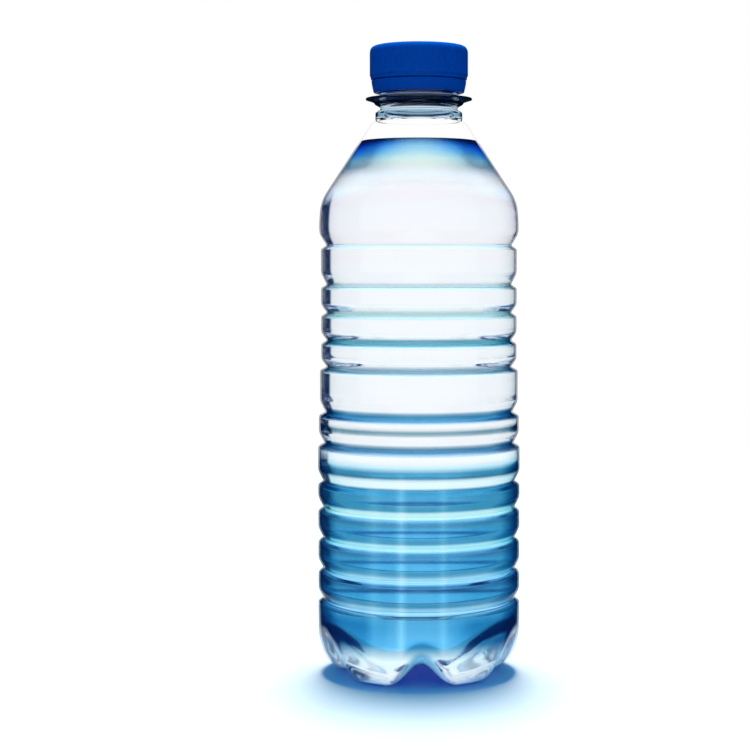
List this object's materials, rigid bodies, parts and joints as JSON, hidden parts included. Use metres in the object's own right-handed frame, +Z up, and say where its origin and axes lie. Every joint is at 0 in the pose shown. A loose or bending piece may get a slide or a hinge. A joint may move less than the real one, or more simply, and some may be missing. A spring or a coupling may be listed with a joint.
{
  "type": "plastic water bottle",
  "caption": "Full clear plastic drinking-water bottle with a conical shoulder, sawtooth grip hoops, a footed base and a blue screw cap.",
  "frame": {"origin": "centre of the base, at the height of the floor the bottle stands on", "axes": "+Z up along the bottle's axis, -Y towards the viewer with a strap of the base 2 degrees off it"},
  "size_m": [0.0652, 0.0652, 0.2016],
  "materials": {
    "clear_plastic": "clear glossy PET",
    "water": "clear liquid",
    "blue_plastic": "satin moulded polyethylene",
    "liner": "soft foamed sealing disc"
  },
  "bodies": {
    "bottle": {"bottle": "clear_plastic", "water": "water", "tamper_band": "blue_plastic"},
    "liner": {"liner": "liner"},
    "cap": {"cap": "blue_plastic"}
  },
  "joints": [
    {"name": "cap_lift", "type": "slide", "parent": "bottle", "child": "liner", "axis": [0, 0, 1], "range_m": [0, 0.0041]},
    {"name": "cap_turn", "type": "hinge", "parent": "liner", "child": "cap", "pos_m": [0, 0, 0.1955], "axis": [0, 0, 1], "range_deg": [0, 540]}
  ],
  "couplings": [
    {"joint": "cap_lift", "follows": "cap_turn", "m_per_rad": 0.00042972}
  ]
}
